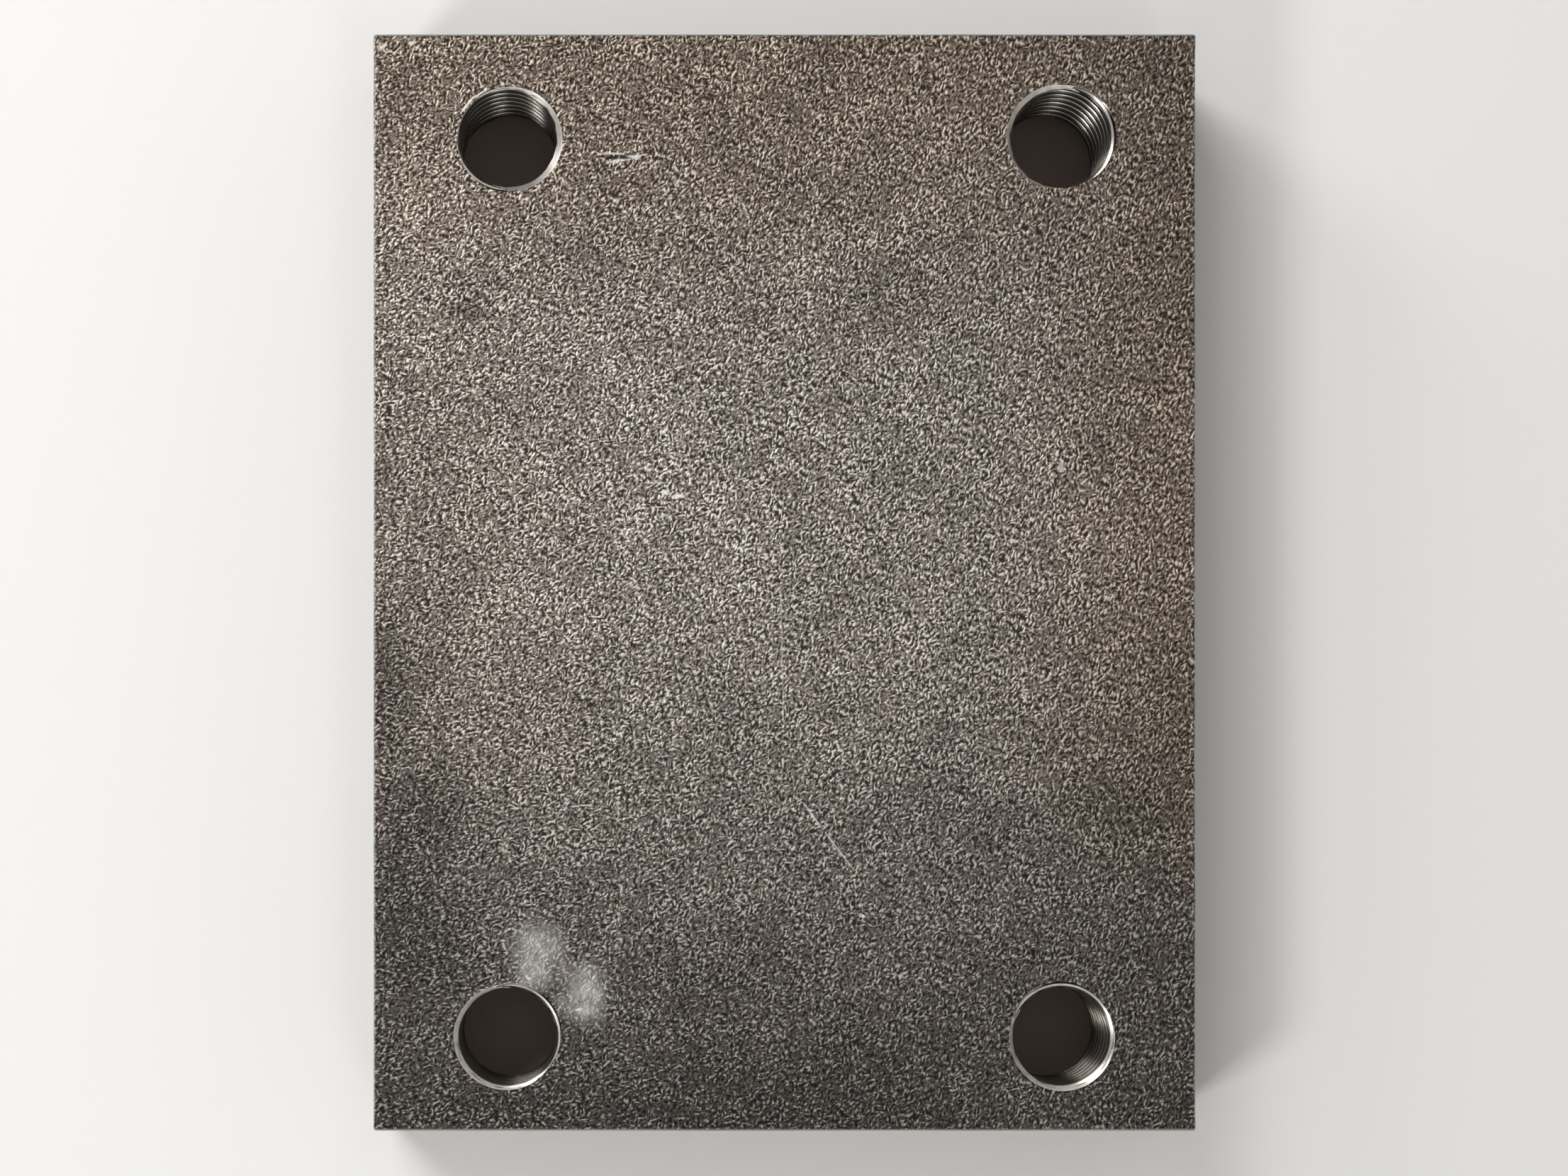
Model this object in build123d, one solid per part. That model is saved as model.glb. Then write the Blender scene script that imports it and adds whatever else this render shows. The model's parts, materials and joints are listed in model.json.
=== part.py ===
from build123d import *

import os
from math import radians, tan

# Drilled and tapped steel plate, lying flat. Millimetres.
# X runs across the rolled bar, Y along it, Z up through the thickness.
# The origin is the middle of the underside.

# Stock: a length sawn from hot-rolled flat bar
width = 150.0
length = 200.0
thickness = 25.0

# The rolled long edges are slightly rounded, and the sawn ends are only filed
rolled_edge_radius = 0.8
filed_edge_break = 0.4

# Four holes tapped M20 x 2.5 right through, one near each corner.
# The bore is the thread's inner wall: its turns are fine relief on that wall.
bore_radius = 8.85

# Each mouth is a cone that opens this much wider than the bore, all round
mouth_flare = 0.8
mouth_half_angle = 45.0

# From the plate's edges to the hole centres: the front row is a little nearer its end
hole_from_side = 24.5
hole_from_front = 17.2
hole_from_back = 18.8


def plate_blank():
    """Flat bar with rounded long edges, cut to length and filed all round its cut ends."""
    section = Plane.XZ * RectangleRounded(width, thickness, rolled_edge_radius)
    bar = extrude(section, amount=length / 2, both=True)
    cut_ends = bar.faces().filter_by(Axis.Y)
    bar = chamfer(cut_ends.edges(), filed_edge_break)
    return Pos(0, 0, thickness / 2) * bar


def hole_space():
    """The space inside one hole: a through bore with a conical mouth at each face."""
    mouth_radius = bore_radius + mouth_flare
    mouth_depth = mouth_flare / tan(radians(mouth_half_angle))
    half_section = Polyline(
        (0, 0),
        (mouth_radius, 0),
        (bore_radius, mouth_depth),
        (bore_radius, thickness - mouth_depth),
        (mouth_radius, thickness),
        (0, thickness),
        (0, 0),
    )
    return revolve(Plane.XZ * make_face(half_section), Axis.Z)


def hole_places():
    """A hole near each corner, set in from the plate's own edges."""
    spacing_x = width - 2 * hole_from_side
    spacing_y = length - hole_from_front - hole_from_back
    centre_y = (hole_from_front - hole_from_back) / 2
    return Pos(0, centre_y, 0) * GridLocations(spacing_x, spacing_y, 2, 2)


def steel_plate():
    plate = plate_blank()
    for place in hole_places():
        plate -= place * hole_space()
    return plate


os.makedirs("parts", exist_ok=True)
export_step(steel_plate(), "parts/steel_plate.step")
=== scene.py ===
import json
import math

import bpy
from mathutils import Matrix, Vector, noise
from mathutils.geometry import delaunay_2d_cdt


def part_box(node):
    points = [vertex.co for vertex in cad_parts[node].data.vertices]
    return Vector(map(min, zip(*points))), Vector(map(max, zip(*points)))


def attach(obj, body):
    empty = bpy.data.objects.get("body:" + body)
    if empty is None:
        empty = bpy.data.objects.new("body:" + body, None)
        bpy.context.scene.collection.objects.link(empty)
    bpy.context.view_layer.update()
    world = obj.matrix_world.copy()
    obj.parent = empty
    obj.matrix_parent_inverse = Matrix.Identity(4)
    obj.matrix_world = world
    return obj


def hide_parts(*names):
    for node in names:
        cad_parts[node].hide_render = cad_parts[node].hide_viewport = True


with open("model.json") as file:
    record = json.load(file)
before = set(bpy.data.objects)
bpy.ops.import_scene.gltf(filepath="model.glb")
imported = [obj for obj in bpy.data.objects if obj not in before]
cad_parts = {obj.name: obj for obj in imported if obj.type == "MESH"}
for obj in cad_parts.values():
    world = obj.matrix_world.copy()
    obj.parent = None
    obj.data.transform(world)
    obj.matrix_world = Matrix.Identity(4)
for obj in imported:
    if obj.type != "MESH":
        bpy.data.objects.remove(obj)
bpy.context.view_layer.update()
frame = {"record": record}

mm = 0.001
tau = 2 * math.pi
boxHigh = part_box("steel_plate")[1]
halfWidth = boxHigh.x / mm
halfLength = boxHigh.y / mm
thickness = boxHigh.z / mm

# The photograph: its size, and where the plate and the camera are in it
photo = {
    "width": 2212,
    "height": 1659,
    "plateMiddle": (1107.0, 821.5),
    "pixelsPerMm": 7.7375,
    "straightBelow": (840.6, 1156.9),  # the point of the plate that the camera is straight above
    "cameraHeight": 456.0,             # mm above the top face
    "sensor": 36.0,                    # mm
    "nearClip": 0.01,                  # metres
}


def plateSpot(pixel):
    # a pixel of the photograph, as mm on the top face
    x = (pixel[0] - photo["plateMiddle"][0]) / photo["pixelsPerMm"]
    y = (photo["plateMiddle"][1] - pixel[1]) / photo["pixelsPerMm"]
    return x, y


def smooth(value, low, high):
    # 0 below low, 1 above high, and a soft step between
    part = min(max((value - low) / (high - low), 0.0), 1.0)
    return part * part * (3 - 2 * part)


def makeCamera():
    # straight down, off the plate's middle as in the photograph, with the frame shifted back over it
    below = photo["straightBelow"]
    x, y = plateSpot(below)
    focal = photo["pixelsPerMm"] * photo["cameraHeight"]
    camera = bpy.data.objects.new("photoCamera", bpy.data.cameras.new("photoCamera"))
    bpy.context.scene.collection.objects.link(camera)
    camera.data.sensor_width = photo["sensor"]
    camera.data.lens = photo["sensor"] * focal / photo["width"]
    camera.data.shift_x = (photo["width"] / 2 - below[0]) / photo["width"]
    camera.data.shift_y = (below[1] - photo["height"] / 2) / photo["width"]
    camera.data.clip_start = photo["nearClip"]
    camera.location = (x * mm, y * mm, (thickness + photo["cameraHeight"]) * mm)
    bpy.context.scene.camera = camera
    print("camera: lens", round(camera.data.lens, 2), "shift",
          round(camera.data.shift_x, 3), round(camera.data.shift_y, 3))


makeCamera()


def linear(hexColour):
    # an sRGB hex colour, turned linear for the shader
    parts = [int(hexColour[i:i + 2], 16) / 255 for i in (1, 3, 5)]
    return [c / 12.92 if c <= 0.04045 else ((c + 0.055) / 1.055) ** 2.4 for c in parts] + [1.0]


def addNode(tree, kind, inputs=None, stops=None, **settings):
    # one node with its settings; an input is a number, a colour, or the node or socket that feeds it
    node = tree.nodes.new(kind)
    for name, value in settings.items():
        setattr(node, name, value)
    for place, (position, colour) in enumerate(stops or []):
        points = node.color_ramp.elements
        point = points[place] if place < len(points) else points.new(position)
        point.position = position
        point.color = linear(colour)
    for socket, value in (inputs or {}).items():
        if isinstance(value, bpy.types.Node):
            value = next(out for out in value.outputs if out.enabled)
        if isinstance(value, bpy.types.NodeSocket):
            tree.links.new(value, node.inputs[socket])
        else:
            node.inputs[socket].default_value = value
    return node


def newMaterial(name):
    material = bpy.data.materials.new(name)
    material.use_nodes = True
    material.node_tree.nodes.clear()
    return material, material.node_tree


def steelSurface(tree, look, colour, rough, height, relief=1.0):
    # what every steel here ends in: a metal that is bumped by its own pattern
    bump = addNode(tree, "ShaderNodeBump", {
        "Height": height, "Distance": look["bump"] * mm, "Strength": relief})
    shader = addNode(tree, "ShaderNodeBsdfPrincipled", {
        "Base Color": colour, "Metallic": look["metallic"], "Roughness": rough, "Normal": bump})
    addNode(tree, "ShaderNodeOutputMaterial", {"Surface": shader})


def markFrom(begin, end, wide, core, strength):
    # from one pixel of the photograph to another; core is how much of the width is solid before it fades
    return {"ends": (begin, end), "wide": wide, "core": core, "strength": strength}


def ovalAt(middle, reach, strength):
    # an oval round one pixel of the photograph, that fades out at its reach
    return {"middle": middle, "reach": reach, "strength": strength}


# Marks on the top face. Scrapes are bright and stand a little proud.
# The ones on a hole's rim follow the rim as modelled, about 1 mm from where the photograph has them.
scrapes = {
    "gougeLip": markFrom((860, 229), (906, 219), 6, 0.5, 1.0),
    "gougeBurr": markFrom((847, 216), (880, 217), 4, 0.4, 0.9),
    "faintUpper": markFrom((712, 382), (753, 364), 4, 0.2, 0.5),
    "faintLeft": markFrom((657, 332), (640, 372), 4, 0.2, 0.4),
    "faintLower": markFrom((636, 380), (619, 394), 4, 0.2, 0.4),
    "cornerStreak": markFrom((530, 73), (546, 62), 6, 0.5, 1.0),
    "cornerTick": markFrom((576, 62), (586, 58), 5, 0.3, 0.9),
    "rimSliver": markFrom((651, 158), (667, 138), 4.5, 0.6, 1.0),
    "rimSliverTail": markFrom((666, 139), (689, 125), 3, 0.5, 0.9),
    "rimLine": markFrom((643, 145), (657, 132), 2, 0.3, 0.45),
    "chipLeft": markFrom((934, 694), (944, 696), 9, 0.4, 1.0),
    "chipRight": markFrom((950, 700), (966, 700), 7, 0.5, 1.0),
    "chipTail": markFrom((918, 681), (938, 681), 3, 0.3, 0.7),
    "nickFlat": markFrom((1498, 650), (1497, 668), 12, 0.3, 0.7),
    "nickTail": markFrom((1490, 690), (1486, 706), 3, 0.3, 0.7),
    "fleckA": markFrom((950, 232), (956, 242), 5, 0.3, 0.9),
    "fleckB": markFrom((954, 253), (957, 263), 5, 0.3, 0.8),
    "fleckC": markFrom((935, 265), (941, 272), 5, 0.3, 0.9),
    "fleckD": markFrom((911, 290), (916, 295), 5, 0.3, 0.8),
    "fleckE": markFrom((952, 304), (962, 309), 5, 0.3, 0.9),
    "upright": markFrom((1101, 826), (1106, 1034), 3.4, 0.2, 0.42),
    "slantUpper": markFrom((1134, 1133), (1159, 1168), 3.4, 0.3, 0.8),
    "slantLower": markFrom((1164, 1174), (1205, 1228), 3.4, 0.3, 0.7),
    "whiteFleck": markFrom((1215, 1291), (1220, 1294), 6, 0.4, 1.0),
    "smudgeSpark": markFrom((741, 1377), (748, 1382), 5, 0.4, 0.9),
    "smudgeTick": markFrom((812, 1426), (820, 1423), 4, 0.4, 0.9),
}
# Nicks are cut in, and their dark colour is painted shadow down in the cut.
nicks = {
    "gougeBed": markFrom((849, 221), (891, 223), 6, 0.6, 1.0),
    "nickHole": markFrom((1499, 645), (1507, 650), 8, 0.6, 1.0),
    "nickStep": markFrom((1490, 668), (1503, 667), 3.4, 0.4, 0.9),
    "nickScore": markFrom((1490, 670), (1485, 704), 4, 0.4, 0.9),
    "dash": markFrom((1018, 751), (1036, 752), 4, 0.4, 0.9),
    "darkTickA": markFrom((1424, 868), (1430, 890), 4, 0.3, 0.8),
    "darkTickB": markFrom((1436, 880), (1442, 905), 4, 0.3, 0.7),
}
# Pale smudges, taken for grease, with soft, uneven edges
dabs = {
    "greaseUpper": ovalAt((760, 1338), (46, 50), 0.95),
    "greaseFoot": ovalAt((752, 1374), (32, 32), 0.9),
    "greaseLower": ovalAt((824, 1402), (40, 58), 0.95),
    "greaseJoin": ovalAt((806, 1412), (36, 30), 0.6),
}
markShape = {
    "taper": 0.6,            # how much narrower a mark is at its ends
    "taperBend": 3,
    "ragged": 0.35,          # how far its strength comes and goes along it
    "raggedSize": 0.8,       # mm
    "raggedSeed": 5.3,
    "nickDepth": 0.12,       # mm
    "lipHeight": 0.03,       # mm
    "dabCore": 0.25,
    "dabUneven": 0.5,
    "dabGrain": 2.2,         # mm
    "dabSeed": 8.8,
}
# Rows of mesh points along a mark, in parts of its half width
markRows = {
    "step": 0.8,
    "leastStep": 0.22,       # mm
    "fewest": 4,
    "overrun": 1.3,
    "places": (-1.5, -1.0, -0.5, 0.0, 0.5, 1.0, 1.5),
}

# Soft areas of the top face, darker (strength below 0) or brighter than the steel round them. They are
# partly the steel's own blotches and smudges and partly painted shade, and most bright ones are painted
# sheen where a lamp's reflection spreads.
shades = {
    "smudgeLeftLow": ovalAt((604, 1126), (110, 100), -0.38),
    "leftEdge": ovalAt((536, 960), (60, 190), -0.40),
    "leftFoot": ovalAt((570, 1290), (170, 230), -0.50),
    "smudgeLeft": ovalAt((656, 438), (52, 36), -0.50),
    "smudgeTop": ovalAt((1118, 251), (80, 60), -0.22),
    "coolUpper": ovalAt((1248, 406), (110, 120), -0.22),
    "coolMiddle": ovalAt((1178, 836), (100, 70), -0.16),
    "coolLower": ovalAt((1006, 1006), (90, 70), -0.12),
    "lowMiddle": ovalAt((1318, 1136), (100, 90), -0.15),
    "lowRight": ovalAt((1576, 1136), (110, 70), -0.28),
    "lowSpot": ovalAt((1408, 1176), (70, 60), -0.15),
    "brightUpper": ovalAt((888, 520), (120, 190), 0.20),
    "brightLeft": ovalAt((600, 300), (120, 260), 0.12),
    "leftSide": ovalAt((556, 900), (190, 560), -0.28),
    "frontRight": ovalAt((1600, 1610), (420, 270), 0.65),
    "brightMiddle": ovalAt((943, 690), (110, 110), 0.18),
    "brightLower": ovalAt((1028, 790), (80, 100), 0.12),
    "brightCentre": ovalAt((1228, 926), (120, 70), 0.12),
    "brightRight": ovalAt((1500, 690), (110, 170), 0.15),
    "pinkLeft": ovalAt((588, 1050), (40, 70), 0.20),
    "pinkFront": ovalAt((1018, 1240), (60, 90), 0.15),
}
# The darker margins are painted shade: they stand for the light falling off towards the front, the back and
# the right.
# Darker margins, painted on as the photograph has them: where each starts and ends in mm, and how much
# brightness it takes off. Turn the depths down for a face that is evenly bright under other light.
margins = {
    "furthest": 1.1,
    "frontEnd": -88.0, "frontDepth": 0.68, "frontBend": 1.2,
    "backStart": 15.0, "backEnd": 90.0, "backDepth": 0.29, "backBend": 1.1,
    "rightStart": 28.0, "rightEnd": 74.0, "rightDepth": 0.26,
    "underside": 0.8,        # tone of all that isn't the top face
}
# Steel tints: 0 is cool, the middle value neutral, 1 a warm tan
tints = {
    "neutral": 0.4,
    "backStart": 30.0, "backEnd": 98.0,
    "rightStart": 30.0, "rightEnd": 74.0,
    "frontStart": 25.0, "frontEnd": 85.0,
    "leftStart": 20.0, "leftEnd": 65.0, "leftWarm": 0.3,
}


def fromMark(mark, x, y):
    # the nearest place on a mark's middle line, as a part of its run, and how far away that is
    (ax, ay), (bx, by) = (plateSpot(end) for end in mark["ends"])
    run = (bx - ax, by - ay)
    along = ((x - ax) * run[0] + (y - ay) * run[1]) / (run[0] ** 2 + run[1] ** 2)
    nearest = min(max(along, 0.0), 1.0)
    return nearest, math.dist((x, y), (ax + run[0] * nearest, ay + run[1] * nearest))


def markStrength(mark, x, y):
    # full strength on the mark's middle line, nothing at its edge
    nearest, away = fromMark(mark, x, y)
    half = mark["wide"] / photo["pixelsPerMm"] / 2
    if away > half:
        return 0.0
    half *= 1 - markShape["taper"] * abs(2 * nearest - 1) ** markShape["taperBend"]
    return mark["strength"] * (1 - smooth(away / half, mark["core"], 1.0))


def strongest(marks, x, y):
    # the strongest of these marks at one place, broken up a little along its run
    found = max(markStrength(mark, x, y) for mark in marks.values())
    if found == 0:
        return 0.0
    size = markShape["raggedSize"]
    uneven = 0.5 + noise.noise(Vector((x / size, y / size, markShape["raggedSeed"])))
    return found * (1 - markShape["ragged"] * uneven)


def softSpot(spot, x, y, core):
    # 1 in a soft spot's middle, 0 outside its reach
    sx, sy = plateSpot(spot["middle"])
    reachX, reachY = (reach / photo["pixelsPerMm"] for reach in spot["reach"])
    return 1 - smooth(math.hypot((x - sx) / reachX, (y - sy) / reachY), core, 1.0)


def greaseAt(x, y):
    # how thickly the smudges lie at one place
    size = markShape["dabGrain"]
    uneven = 1 + markShape["dabUneven"] * noise.noise(Vector((x / size, y / size, markShape["dabSeed"])))
    thickest = max(dab["strength"] * softSpot(dab, x, y, markShape["dabCore"]) for dab in dabs.values())
    return min(thickest * uneven, 1.0)


def markPoints(mark):
    # rows of points along a mark and to both sides of it, close enough to hold its shape
    (ax, ay), (bx, by) = (plateSpot(end) for end in mark["ends"])
    length = math.dist((ax, ay), (bx, by))
    half = mark["wide"] / photo["pixelsPerMm"] / 2
    ux, uy = (bx - ax) / length, (by - ay) / length
    step = max(half * markRows["step"], markRows["leastStep"])
    rows = max(round((length + 2 * half) / step), markRows["fewest"])
    over = markRows["overrun"] * half
    points = []
    for i in range(rows + 1):
        along = -over + (length + 2 * over) * i / rows
        for across in markRows["places"]:
            side = across * half
            points.append((ax + ux * along - uy * side, ay + uy * along + ux * side))
    return points


def nearMark(mark, x, y, clear):
    # whether a place lies within a mark's own rows of points, or so near to them
    half = mark["wide"] / photo["pixelsPerMm"] / 2
    return fromMark(mark, x, y)[1] < markRows["places"][-1] * half + clear


def toneAt(x, y):
    # how bright the top face's steel is at one place, 1 in the middle: its own tone with the painted shade
    # of the margins and the painted shade and sheen of the soft areas
    back = (y - margins["backStart"]) / (margins["backEnd"] - margins["backStart"])
    front = min(max(y / margins["frontEnd"], 0.0), margins["furthest"])
    back = min(max(back, 0.0), margins["furthest"])
    tone = 1 - margins["frontDepth"] * front ** margins["frontBend"]
    tone *= 1 - margins["backDepth"] * back ** margins["backBend"]
    tone *= 1 - margins["rightDepth"] * smooth(x, margins["rightStart"], margins["rightEnd"])
    for shade in shades.values():
        tone *= 1 + shade["strength"] * softSpot(shade, x, y, 0.0)
    return tone


def tintAt(x, y):
    # warm towards the back and both sides, cool towards the front
    back = smooth(y, tints["backStart"], tints["backEnd"])
    right = smooth(x, tints["rightStart"], tints["rightEnd"])
    left = tints["leftWarm"] * smooth(-x, tints["leftStart"], tints["leftEnd"])
    warm = max(back, right, left)
    cool = smooth(-y, tints["frontStart"], tints["frontEnd"])
    neutral = tints["neutral"]
    return max(neutral + (1 - neutral) * warm - cool * neutral * (1 + warm), 0.0)


# Mild steel, hot-rolled, pickled free of scale and lightly oiled. That gives grey metal with a fine, dull,
# worm-like grain, slow brownish clouds, and a few scuffs. The grain's colour is partly its own and partly
# painted relief shade, with painted glints in its dashes, lit as from the upper left.
millFace = {
    "dashLength": 0.80,     # mm between a dash's ends, near enough
    "dashWidth": 0.44,      # mm
    "dashAngles": (14, 42, 70),
    "dashLean": (0.0017, 0.0006),   # a mm, to the right and to the back, how much steeper they get
    "patchSize": 1.9,       # mm over which the dashes run alike, and a faint pink or green tint
    "patchTint": 0.06,
    "patchEdge": (0.44, 0.54),      # where one direction gives way to the next
    "bend": 0.8,            # mm by which the dashes wander within a patch
    "pitSize": 0.36,        # mm
    "pitShare": 0.26,
    "cloudSize": 13.0,      # mm across a slow cloud
    "cloudRange": (0.86, 1.14),
    "calmSize": 5.0,        # mm across an area where the grain is calmer or livelier
    "calmRange": (0.85, 1.18),
    "darkCalm": 0.9,        # how much of the grain's contrast is left in the darkest margins
    "darkRange": (0.2, 0.9),
    "grainRange": (0.34, 0.47, 0.60, 0.69),
    # glintRange and glint make a painted glint: the brightest dashes are lifted toward white in the colour
    "glintRange": (0.60, 0.72),
    "glint": 0.25,          # how far the brightest dashes keep their light in the dark margins
    # dark, middle, light and spark are the grain's colours: partly the steel's own grain, partly painted
    # relief shade and painted highlight, with painted glints at the spark end
    "dark": "#3c3732",
    "middle": "#867e78",
    "light": "#b7b0aa",
    "spark": "#fffbf5",
    "scrape": "#fffbf5",
    "nick": "#1f1b18",
    "grease": "#d4d1cc",
    "greaseCover": 0.62,
    "cool": "#f7f5f2",
    "neutral": "#fbf8f5",
    "warm": "#fff2e4",
    "rubbedEdge": "#c8bfb7",
    "rubbedRange": (0.6, 1.0),
    "rubbedShare": 0.8,
    "metallic": 0.7,
    "roughness": 0.58,
    "grainRoughness": -0.25,
    "scrapeRoughness": 0.15,
    "bump": 0.22,           # mm; set by the grain's contrast in the photograph, and not a reading
}


def pickledHotRolledSteel():
    material, tree = newMaterial("pickledHotRolledSteel")
    look = millFace
    place = addNode(tree, "ShaderNodeTexCoord")
    inMm = addNode(tree, "ShaderNodeVectorMath", {
        0: place.outputs["Object"], "Scale": 1 / mm}, operation="SCALE")
    patches = addNode(tree, "ShaderNodeTexNoise", {
        "Vector": inMm, "Scale": 1 / look["patchSize"], "Detail": 0.0}, noise_dimensions="2D")
    patch = addNode(tree, "ShaderNodeSeparateColor", {0: patches.outputs["Color"]})
    bent = addNode(tree, "ShaderNodeVectorMath", {
        0: patches.outputs["Color"], 1: (look["bend"],) * 3, 2: inMm}, operation="MULTIPLY_ADD")
    # dashes in three directions, each in its own patches; they get steeper across the plate, turning with
    # the light's direction so that their painted relief shade reads as lit from the upper left
    lean = addNode(tree, "ShaderNodeVectorMath", {
        0: inMm, 1: look["dashLean"] + (0.0,)}, operation="DOT_PRODUCT")
    grain = None
    for number, angle in enumerate(look["dashAngles"]):
        turn = math.radians(angle)
        along = addNode(tree, "ShaderNodeVectorMath", {0: bent, 1: (
            math.cos(turn) / look["dashLength"], math.sin(turn) / look["dashLength"], 0.0)},
            operation="DOT_PRODUCT")
        across = addNode(tree, "ShaderNodeVectorMath", {0: bent, 1: (
            -math.sin(turn) / look["dashWidth"], math.cos(turn) / look["dashWidth"], 0.0)},
            operation="DOT_PRODUCT")
        turned = addNode(tree, "ShaderNodeCombineXYZ", {
            "X": along.outputs["Value"], "Y": across.outputs["Value"]})
        dashes = addNode(tree, "ShaderNodeTexNoise", {
            "Vector": turned, "Scale": 1.0, "Detail": 0.0}, noise_dimensions="2D")
        if grain is None:
            grain = dashes
            continue
        steep = addNode(tree, "ShaderNodeMath", {0: patch.outputs[number - 1], 1: lean.outputs["Value"]})
        here = addNode(tree, "ShaderNodeMapRange", {
            "Value": steep, "From Min": look["patchEdge"][0], "From Max": look["patchEdge"][1]},
            interpolation_type="SMOOTHSTEP")
        grain = addNode(tree, "ShaderNodeMix", {"Factor": here, "A": grain, "B": dashes})
    pits = addNode(tree, "ShaderNodeTexNoise", {
        "Vector": inMm, "Scale": 1 / look["pitSize"], "Detail": 0.0}, noise_dimensions="2D")
    grain = addNode(tree, "ShaderNodeMix", {"Factor": look["pitShare"], "A": grain, "B": pits})
    calm = addNode(tree, "ShaderNodeTexNoise", {
        "Vector": inMm, "Scale": 1 / look["calmSize"], "Detail": 1.0}, noise_dimensions="2D")
    tone = addNode(tree, "ShaderNodeAttribute", attribute_name="tone")
    calm = addNode(tree, "ShaderNodeMapRange", {
        "Value": calm, "From Min": 0.35, "From Max": 0.65,
        "To Min": look["calmRange"][0], "To Max": look["calmRange"][1]})
    lively = addNode(tree, "ShaderNodeMapRange", {
        "Value": tone.outputs["Fac"], "From Min": look["darkRange"][0], "From Max": look["darkRange"][1],
        "To Min": look["darkCalm"]})
    calm = addNode(tree, "ShaderNodeMath", {0: calm, 1: lively}, operation="MULTIPLY")
    grain = addNode(tree, "ShaderNodeMix", {"Factor": calm, "A": look["grainRange"][1], "B": grain},
                    clamp_factor=False)
    # the grain's colour: partly the steel's own grain and partly painted relief shade and highlight, with
    # painted glints at its bright end
    colour = addNode(tree, "ShaderNodeValToRGB", {"Fac": grain}, stops=list(zip(
        look["grainRange"], (look["dark"], look["middle"], look["light"], look["spark"]))))
    # faint tints from patch to patch, then slow clouds over the whole plate, with the painted shade and
    # sheen that the mesh carries
    faint = addNode(tree, "ShaderNodeVectorMath", {
        0: patches.outputs["Color"], 1: (look["patchTint"],) * 3, 2: (1 - look["patchTint"] / 2,) * 3},
        operation="MULTIPLY_ADD")
    colour = addNode(tree, "ShaderNodeVectorMath", {0: colour, 1: faint}, operation="MULTIPLY")
    clouds = addNode(tree, "ShaderNodeTexNoise", {
        "Vector": inMm, "Scale": 1 / look["cloudSize"], "Detail": 2.0}, noise_dimensions="3D")
    cloudTone = addNode(tree, "ShaderNodeMapRange", {
        "Value": clouds, "From Min": 0.3, "From Max": 0.7,
        "To Min": look["cloudRange"][0], "To Max": look["cloudRange"][1]})
    shade = addNode(tree, "ShaderNodeMath", {0: cloudTone, 1: tone.outputs["Fac"]}, operation="MULTIPLY")
    # painted glint: the brightest dashes are lifted toward white, and keep it in the painted shade of the
    # margins
    glint = addNode(tree, "ShaderNodeMapRange", {
        "Value": grain, "From Min": look["glintRange"][0], "From Max": look["glintRange"][1],
        "To Max": look["glint"]})
    shade = addNode(tree, "ShaderNodeMix", {"Factor": glint, "A": shade, "B": 1.0})
    tint = addNode(tree, "ShaderNodeAttribute", attribute_name="tint")
    tintColour = addNode(tree, "ShaderNodeValToRGB", {"Fac": tint.outputs["Fac"]}, stops=[
        (0.0, look["cool"]), (tints["neutral"], look["neutral"]), (1.0, look["warm"])])
    shadeColour = addNode(tree, "ShaderNodeVectorMath", {0: tintColour, "Scale": shade}, operation="SCALE")
    colour = addNode(tree, "ShaderNodeVectorMath", {0: colour, 1: shadeColour}, operation="MULTIPLY")
    # grease, marks and rubbed edges, which the mesh carries
    grease = addNode(tree, "ShaderNodeAttribute", attribute_name="grease")
    mottled = addNode(tree, "ShaderNodeMath", {
        0: patch.outputs[2], 1: look["greaseCover"], 2: look["greaseCover"] / 2}, operation="MULTIPLY_ADD")
    cover = addNode(tree, "ShaderNodeMath", {0: grease.outputs["Fac"], 1: mottled}, operation="MULTIPLY")
    colour = addNode(tree, "ShaderNodeMix", {
        0: cover, 6: colour, 7: linear(look["grease"])}, data_type="RGBA")
    wear = addNode(tree, "ShaderNodeAttribute", attribute_name="wear")
    rubbed = addNode(tree, "ShaderNodeMapRange", {
        "Value": wear.outputs["Fac"], "From Min": look["rubbedRange"][0], "From Max": look["rubbedRange"][1],
        "To Max": look["rubbedShare"]})
    rubbed = addNode(tree, "ShaderNodeMath", {0: rubbed, 1: grain}, operation="MULTIPLY")
    colour = addNode(tree, "ShaderNodeMix", {
        0: rubbed, 6: colour, 7: linear(look["rubbedEdge"])}, data_type="RGBA")
    scrape = addNode(tree, "ShaderNodeAttribute", attribute_name="scrape")
    colour = addNode(tree, "ShaderNodeMix", {
        0: scrape.outputs["Fac"], 6: colour, 7: linear(look["scrape"])}, data_type="RGBA")
    # the nicks' dark colour is painted shadow down in the cut
    nick = addNode(tree, "ShaderNodeAttribute", attribute_name="nick")
    colour = addNode(tree, "ShaderNodeMix", {
        0: nick.outputs["Fac"], 6: colour, 7: linear(look["nick"])}, data_type="RGBA")
    # a fresh scrape scatters light more widely, and bright dashes glint more than dark ones
    rough = addNode(tree, "ShaderNodeMath", {
        0: grain, 1: look["grainRoughness"], 2: look["roughness"] - look["grainRoughness"] / 2},
        operation="MULTIPLY_ADD")
    rough = addNode(tree, "ShaderNodeMath", {
        0: scrape.outputs["Fac"], 1: look["scrapeRoughness"], 2: rough}, operation="MULTIPLY_ADD")
    relief = addNode(tree, "ShaderNodeMath", {0: 1.0, 1: scrape.outputs["Fac"]}, operation="SUBTRACT")
    steelSurface(tree, look, colour, rough, grain, relief)
    return material


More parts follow.
